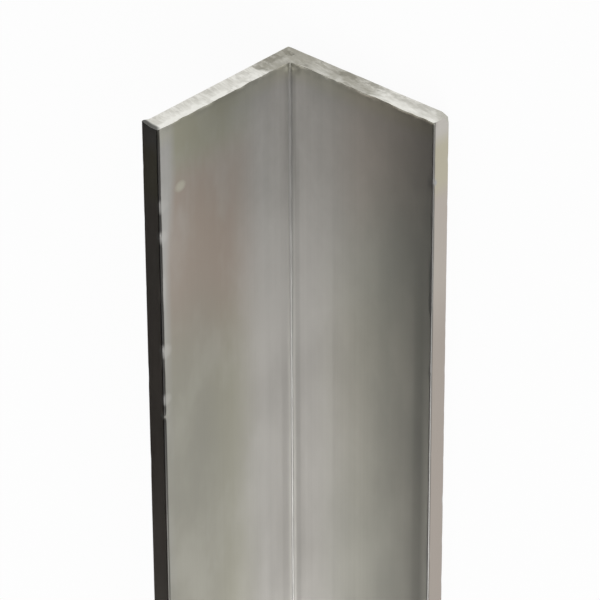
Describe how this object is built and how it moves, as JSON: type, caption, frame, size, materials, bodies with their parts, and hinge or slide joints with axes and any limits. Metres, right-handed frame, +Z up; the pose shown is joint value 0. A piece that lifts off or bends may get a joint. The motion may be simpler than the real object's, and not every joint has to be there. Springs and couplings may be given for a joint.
{
  "type": "equal-leg metal angle section",
  "caption": "Straight L-section bar of mill-finish metal with equal thin legs at a right angle, sharp corners and square sawn ends.",
  "frame": {"origin": "middle of the flat leg's outer face, on the floor that the bar lies on, halfway between its sawn ends", "axes": "+X along the bar, +Y out of the upright leg's outer face (the back), +Z up, out of the floor; the nook between the legs opens towards -Y and +Z"},
  "size_m": [0.9144, 0.0318, 0.0318],
  "materials": {
    "mill_metal": "mill finish, as extruded, with fine lines along the bar and raw saw-cut ends"
  },
  "bodies": {
    "root": {"angle_section": "mill_metal"}
  },
  "joints": []
}
